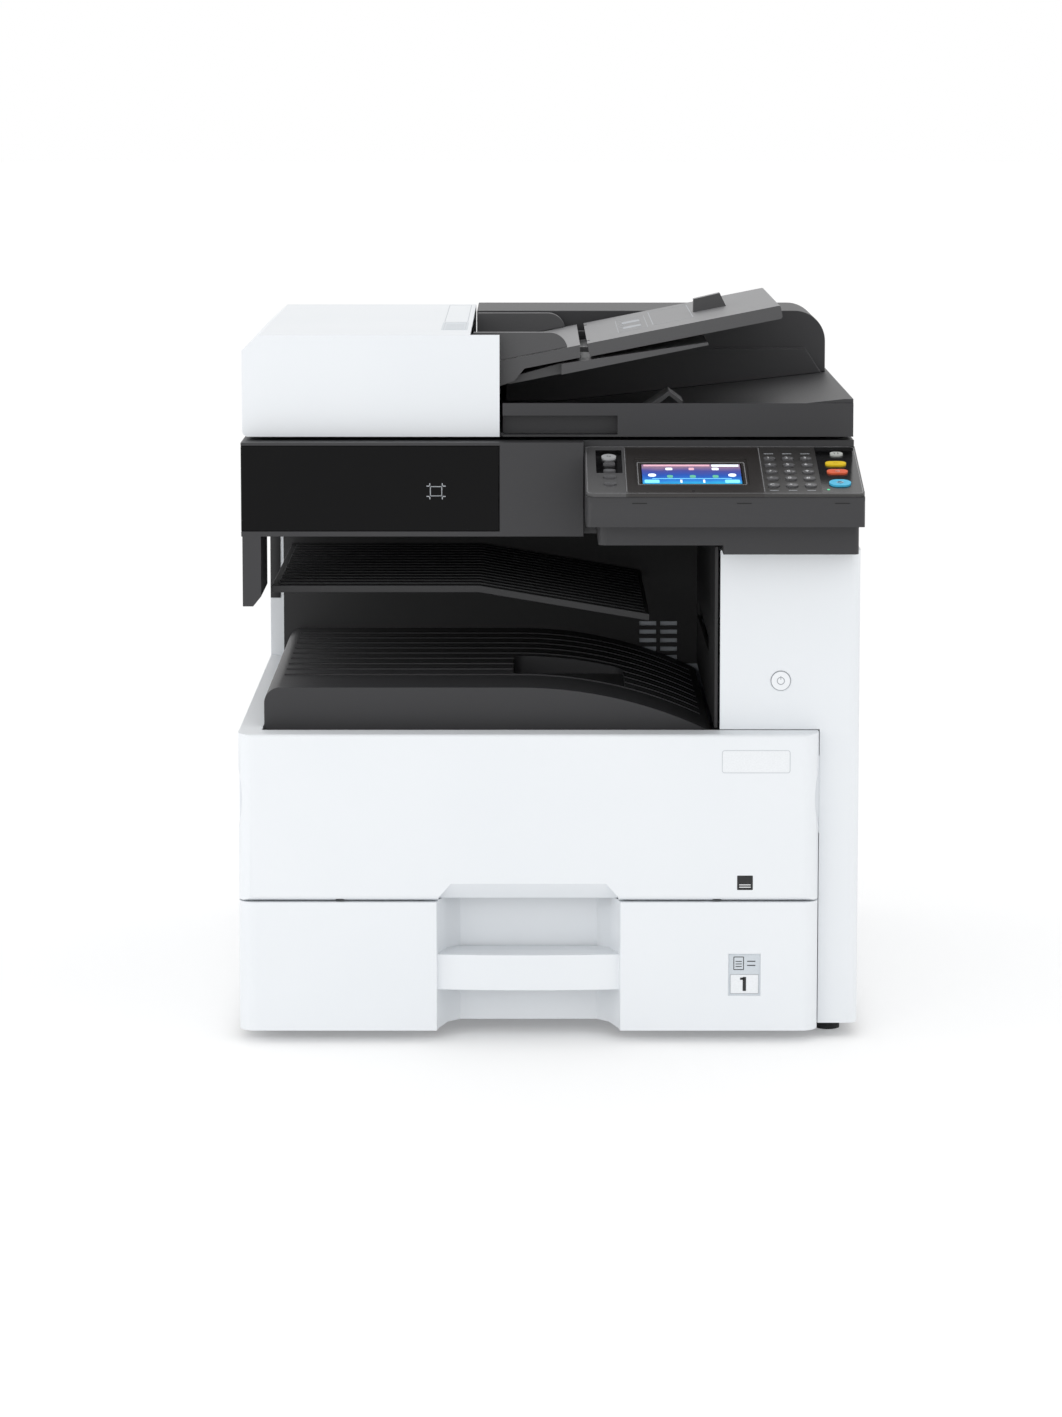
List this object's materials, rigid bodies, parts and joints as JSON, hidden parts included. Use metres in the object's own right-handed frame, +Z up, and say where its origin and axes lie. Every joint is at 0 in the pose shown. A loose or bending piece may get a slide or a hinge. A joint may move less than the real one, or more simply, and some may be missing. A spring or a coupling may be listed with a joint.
{
  "type": "photocopier",
  "caption": "Desktop photocopier: paper cassette, hinged front cover, in-body tray under a flatbed scanner, lifting document feeder and a tilted key panel.",
  "frame": {"origin": "on the floor, under the middle of the machine's box", "axes": "+X to the user's right, +Y to the back, +Z up"},
  "size_m": [0.594, 0.696, 0.7039],
  "materials": {
    "white_cover": "fine satin texture, white with a cool grey tone",
    "rear_white": "fine texture",
    "dark_cover": "fine matt texture, charcoal",
    "dark_tray": "fine matt texture",
    "black_inside": "plain matt black",
    "gloss_black": "piano black gloss",
    "panel_face": "satin black",
    "screen": "backlit display behind a clear window",
    "frame_steel": "zinc coated sheet",
    "lift_steel": "zinc coated sheet",
    "hinge_paint": "black paint",
    "foot_rubber": "plain",
    "roller_rubber": "ground",
    "drum_coat": "photoconductor coating",
    "platen": "clear",
    "mat_white": "soft white sheet on foam",
    "cassette_dark": "charcoal",
    "button_white": "satin",
    "key_grey": "silver paint",
    "key_dark": "satin",
    "key_light": "satin",
    "key_yellow": "satin",
    "key_red": "satin",
    "key_blue": "satin"
  },
  "bodies": {
    "machine": {"main_frame": "frame_steel", "feet": "foot_rubber", "left_cover": "white_cover", "rear_cover": "rear_white", "right_cover": "white_cover", "inner_cover": "black_inside", "output_tray": "dark_cover", "job_tray": "black_inside", "scanner_housing": "dark_cover", "scanner_front_panel": "gloss_black", "platen_glass": "platen", "panel_housing": "dark_cover", "panel_fascia": "panel_face", "lcd_screen": "screen", "hinge_brackets": "hinge_paint", "toner_container": "black_inside"},
    "feeder": {"adf_base": "dark_cover", "adf_feeder": "dark_tray", "adf_rear_cover": "dark_cover", "platen_mat": "mat_white"},
    "feeder_cover": {"adf_cover": "white_cover"},
    "document_tray": {"adf_tray": "dark_tray"},
    "stopper": {"original_stopper": "dark_tray"},
    "guide_front": {"tray_guide_front": "dark_tray"},
    "guide_rear": {"tray_guide_rear": "dark_tray"},
    "feed_roller": {"adf_feed_roller": "roller_rubber"},
    "front_cover": {"front_cover": "white_cover"},
    "cassette": {"cassette_tray": "cassette_dark", "cassette_front": "white_cover"},
    "lift_plate": {"lift_plate": "lift_steel"},
    "right_door": {"right_door": "white_cover"},
    "bypass_tray": {"mp_tray": "white_cover"},
    "exit_rollers": {"exit_rollers": "roller_rubber"},
    "drum": {"drum": "drum_coat"},
    "scan_carriage": {"scan_carriage": "black_inside"},
    "power_button": {"power_button": "button_white"},
    "home_key": {"home_key": "key_grey"},
    "menu_key_1": {"menu_key_1": "key_dark"},
    "menu_key_2": {"menu_key_2": "key_dark"},
    "menu_key_3": {"menu_key_3": "key_dark"},
    "menu_key_4": {"menu_key_4": "key_dark"},
    "reset_key": {"reset_key": "key_light"},
    "energy_key": {"energy_key": "key_yellow"},
    "stop_key": {"stop_key": "key_red"},
    "start_key": {"start_key": "key_blue"},
    "number_key_1_1": {"number_key_1_1": "key_dark"},
    "number_key_1_2": {"number_key_1_2": "key_dark"},
    "number_key_1_3": {"number_key_1_3": "key_dark"},
    "number_key_2_1": {"number_key_2_1": "key_dark"},
    "number_key_2_2": {"number_key_2_2": "key_dark"},
    "number_key_2_3": {"number_key_2_3": "key_dark"},
    "number_key_3_1": {"number_key_3_1": "key_dark"},
    "number_key_3_2": {"number_key_3_2": "key_dark"},
    "number_key_3_3": {"number_key_3_3": "key_dark"},
    "number_key_4_1": {"number_key_4_1": "key_dark"},
    "number_key_4_2": {"number_key_4_2": "key_dark"},
    "number_key_4_3": {"number_key_4_3": "key_dark"},
    "number_key_5_1": {"number_key_5_1": "key_dark"},
    "number_key_5_2": {"number_key_5_2": "key_dark"},
    "number_key_5_3": {"number_key_5_3": "key_dark"}
  },
  "joints": [
    {"name": "feeder_lift", "type": "hinge", "parent": "machine", "child": "feeder", "pos_m": [0, 0.286, 0.584], "axis": [-1, 0, 0], "range_deg": [0, 60]},
    {"name": "feeder_cover_open", "type": "hinge", "parent": "feeder", "child": "feeder_cover", "pos_m": [-0.291, 0, 0.5805], "axis": [0, -1, 0], "range_deg": [0, 80]},
    {"name": "document_tray_lift", "type": "hinge", "parent": "feeder", "child": "document_tray", "pos_m": [0.04444, 0, 0.65625], "axis": [0, -1, 0], "range_deg": [0, 30]},
    {"name": "stopper_fold", "type": "hinge", "parent": "feeder", "child": "stopper", "pos_m": [0.0935, 0, 0.59316], "axis": [0, 1, 0], "range_deg": [0, 8]},
    {"name": "guide_front_slide", "type": "slide", "parent": "feeder", "child": "guide_front", "axis": [0, 1, 0], "range_m": [0, 0.095]},
    {"name": "guide_rear_slide", "type": "slide", "parent": "feeder", "child": "guide_rear", "axis": [0, -1, 0], "range_m": [0, 0.095]},
    {"name": "front_cover_open", "type": "hinge", "parent": "machine", "child": "front_cover", "pos_m": [0, -0.309, 0.1455], "axis": [1, 0, 0], "range_deg": [0, 90]},
    {"name": "cassette_slide", "type": "slide", "parent": "machine", "child": "cassette", "axis": [0, -1, 0], "range_m": [0, 0.37]},
    {"name": "lift_plate_rise", "type": "hinge", "parent": "cassette", "child": "lift_plate", "pos_m": [-0.262, 0, 0.027], "axis": [0, -1, 0], "range_deg": [0, 8]},
    {"name": "right_door_open", "type": "hinge", "parent": "machine", "child": "right_door", "pos_m": [0.291, 0.183, 0.25], "axis": [0, 0, 1], "range_deg": [0, 80]},
    {"name": "bypass_tray_open", "type": "hinge", "parent": "right_door", "child": "bypass_tray", "pos_m": [0.295, 0, 0.112], "axis": [0, 1, 0], "range_deg": [0, 70]},
    {"name": "carriage_slide", "type": "slide", "parent": "machine", "child": "scan_carriage", "axis": [1, 0, 0], "range_m": [0, 0.42]},
    {"name": "exit_rollers_turn", "type": "hinge", "parent": "machine", "child": "exit_rollers", "pos_m": [0.171, 0, 0.362], "axis": [0, 1, 0], "continuous": true},
    {"name": "feed_roller_turn", "type": "hinge", "parent": "feeder", "child": "feed_roller", "pos_m": [-0.096, 0, 0.651], "axis": [0, 1, 0], "continuous": true},
    {"name": "drum_turn", "type": "hinge", "parent": "machine", "child": "drum", "pos_m": [0.18, 0, 0.201], "axis": [0, 1, 0], "continuous": true},
    {"name": "power_button_press", "type": "slide", "parent": "machine", "child": "power_button", "axis": [0, 1, 0], "range_m": [0, 0.002], "stiffness_N_per_m": 400, "springref_m": -0.0005},
    {"name": "home_key_press", "type": "slide", "parent": "machine", "child": "home_key", "axis": [0, 0.2351, -0.972], "range_m": [0, 0.0012], "stiffness_N_per_m": 300, "springref_m": -0.0005},
    {"name": "menu_key_1_press", "type": "slide", "parent": "machine", "child": "menu_key_1", "axis": [0, 0.2351, -0.972], "range_m": [0, 0.0012], "stiffness_N_per_m": 300, "springref_m": -0.0005},
    {"name": "menu_key_2_press", "type": "slide", "parent": "machine", "child": "menu_key_2", "axis": [0, 0.2351, -0.972], "range_m": [0, 0.0012], "stiffness_N_per_m": 300, "springref_m": -0.0005},
    {"name": "menu_key_3_press", "type": "slide", "parent": "machine", "child": "menu_key_3", "axis": [0, 0.2351, -0.972], "range_m": [0, 0.0012], "stiffness_N_per_m": 300, "springref_m": -0.0005},
    {"name": "menu_key_4_press", "type": "slide", "parent": "machine", "child": "menu_key_4", "axis": [0, 0.2351, -0.972], "range_m": [0, 0.0012], "stiffness_N_per_m": 300, "springref_m": -0.0005},
    {"name": "reset_key_press", "type": "slide", "parent": "machine", "child": "reset_key", "axis": [0, 0.2351, -0.972], "range_m": [0, 0.0012], "stiffness_N_per_m": 300, "springref_m": -0.0005},
    {"name": "energy_key_press", "type": "slide", "parent": "machine", "child": "energy_key", "axis": [0, 0.2351, -0.972], "range_m": [0, 0.0012], "stiffness_N_per_m": 300, "springref_m": -0.0005},
    {"name": "stop_key_press", "type": "slide", "parent": "machine", "child": "stop_key", "axis": [0, 0.2351, -0.972], "range_m": [0, 0.0012], "stiffness_N_per_m": 300, "springref_m": -0.0005},
    {"name": "start_key_press", "type": "slide", "parent": "machine", "child": "start_key", "axis": [0, 0.2351, -0.972], "range_m": [0, 0.0012], "stiffness_N_per_m": 300, "springref_m": -0.0005},
    {"name": "number_key_1_1_press", "type": "slide", "parent": "machine", "child": "number_key_1_1", "axis": [0, 0.2351, -0.972], "range_m": [0, 0.0012], "stiffness_N_per_m": 300, "springref_m": -0.0005},
    {"name": "number_key_1_2_press", "type": "slide", "parent": "machine", "child": "number_key_1_2", "axis": [0, 0.2351, -0.972], "range_m": [0, 0.0012], "stiffness_N_per_m": 300, "springref_m": -0.0005},
    {"name": "number_key_1_3_press", "type": "slide", "parent": "machine", "child": "number_key_1_3", "axis": [0, 0.2351, -0.972], "range_m": [0, 0.0012], "stiffness_N_per_m": 300, "springref_m": -0.0005},
    {"name": "number_key_2_1_press", "type": "slide", "parent": "machine", "child": "number_key_2_1", "axis": [0, 0.2351, -0.972], "range_m": [0, 0.0012], "stiffness_N_per_m": 300, "springref_m": -0.0005},
    {"name": "number_key_2_2_press", "type": "slide", "parent": "machine", "child": "number_key_2_2", "axis": [0, 0.2351, -0.972], "range_m": [0, 0.0012], "stiffness_N_per_m": 300, "springref_m": -0.0005},
    {"name": "number_key_2_3_press", "type": "slide", "parent": "machine", "child": "number_key_2_3", "axis": [0, 0.2351, -0.972], "range_m": [0, 0.0012], "stiffness_N_per_m": 300, "springref_m": -0.0005},
    {"name": "number_key_3_1_press", "type": "slide", "parent": "machine", "child": "number_key_3_1", "axis": [0, 0.2351, -0.972], "range_m": [0, 0.0012], "stiffness_N_per_m": 300, "springref_m": -0.0005},
    {"name": "number_key_3_2_press", "type": "slide", "parent": "machine", "child": "number_key_3_2", "axis": [0, 0.2351, -0.972], "range_m": [0, 0.0012], "stiffness_N_per_m": 300, "springref_m": -0.0005},
    {"name": "number_key_3_3_press", "type": "slide", "parent": "machine", "child": "number_key_3_3", "axis": [0, 0.2351, -0.972], "range_m": [0, 0.0012], "stiffness_N_per_m": 300, "springref_m": -0.0005},
    {"name": "number_key_4_1_press", "type": "slide", "parent": "machine", "child": "number_key_4_1", "axis": [0, 0.2351, -0.972], "range_m": [0, 0.0012], "stiffness_N_per_m": 300, "springref_m": -0.0005},
    {"name": "number_key_4_2_press", "type": "slide", "parent": "machine", "child": "number_key_4_2", "axis": [0, 0.2351, -0.972], "range_m": [0, 0.0012], "stiffness_N_per_m": 300, "springref_m": -0.0005},
    {"name": "number_key_4_3_press", "type": "slide", "parent": "machine", "child": "number_key_4_3", "axis": [0, 0.2351, -0.972], "range_m": [0, 0.0012], "stiffness_N_per_m": 300, "springref_m": -0.0005},
    {"name": "number_key_5_1_press", "type": "slide", "parent": "machine", "child": "number_key_5_1", "axis": [0, 0.2351, -0.972], "range_m": [0, 0.0012], "stiffness_N_per_m": 300, "springref_m": -0.0005},
    {"name": "number_key_5_2_press", "type": "slide", "parent": "machine", "child": "number_key_5_2", "axis": [0, 0.2351, -0.972], "range_m": [0, 0.0012], "stiffness_N_per_m": 300, "springref_m": -0.0005},
    {"name": "number_key_5_3_press", "type": "slide", "parent": "machine", "child": "number_key_5_3", "axis": [0, 0.2351, -0.972], "range_m": [0, 0.0012], "stiffness_N_per_m": 300, "springref_m": -0.0005}
  ],
  "couplings": [
    {"joint": "guide_rear_slide", "follows": "guide_front_slide", "ratio": 1}
  ]
}
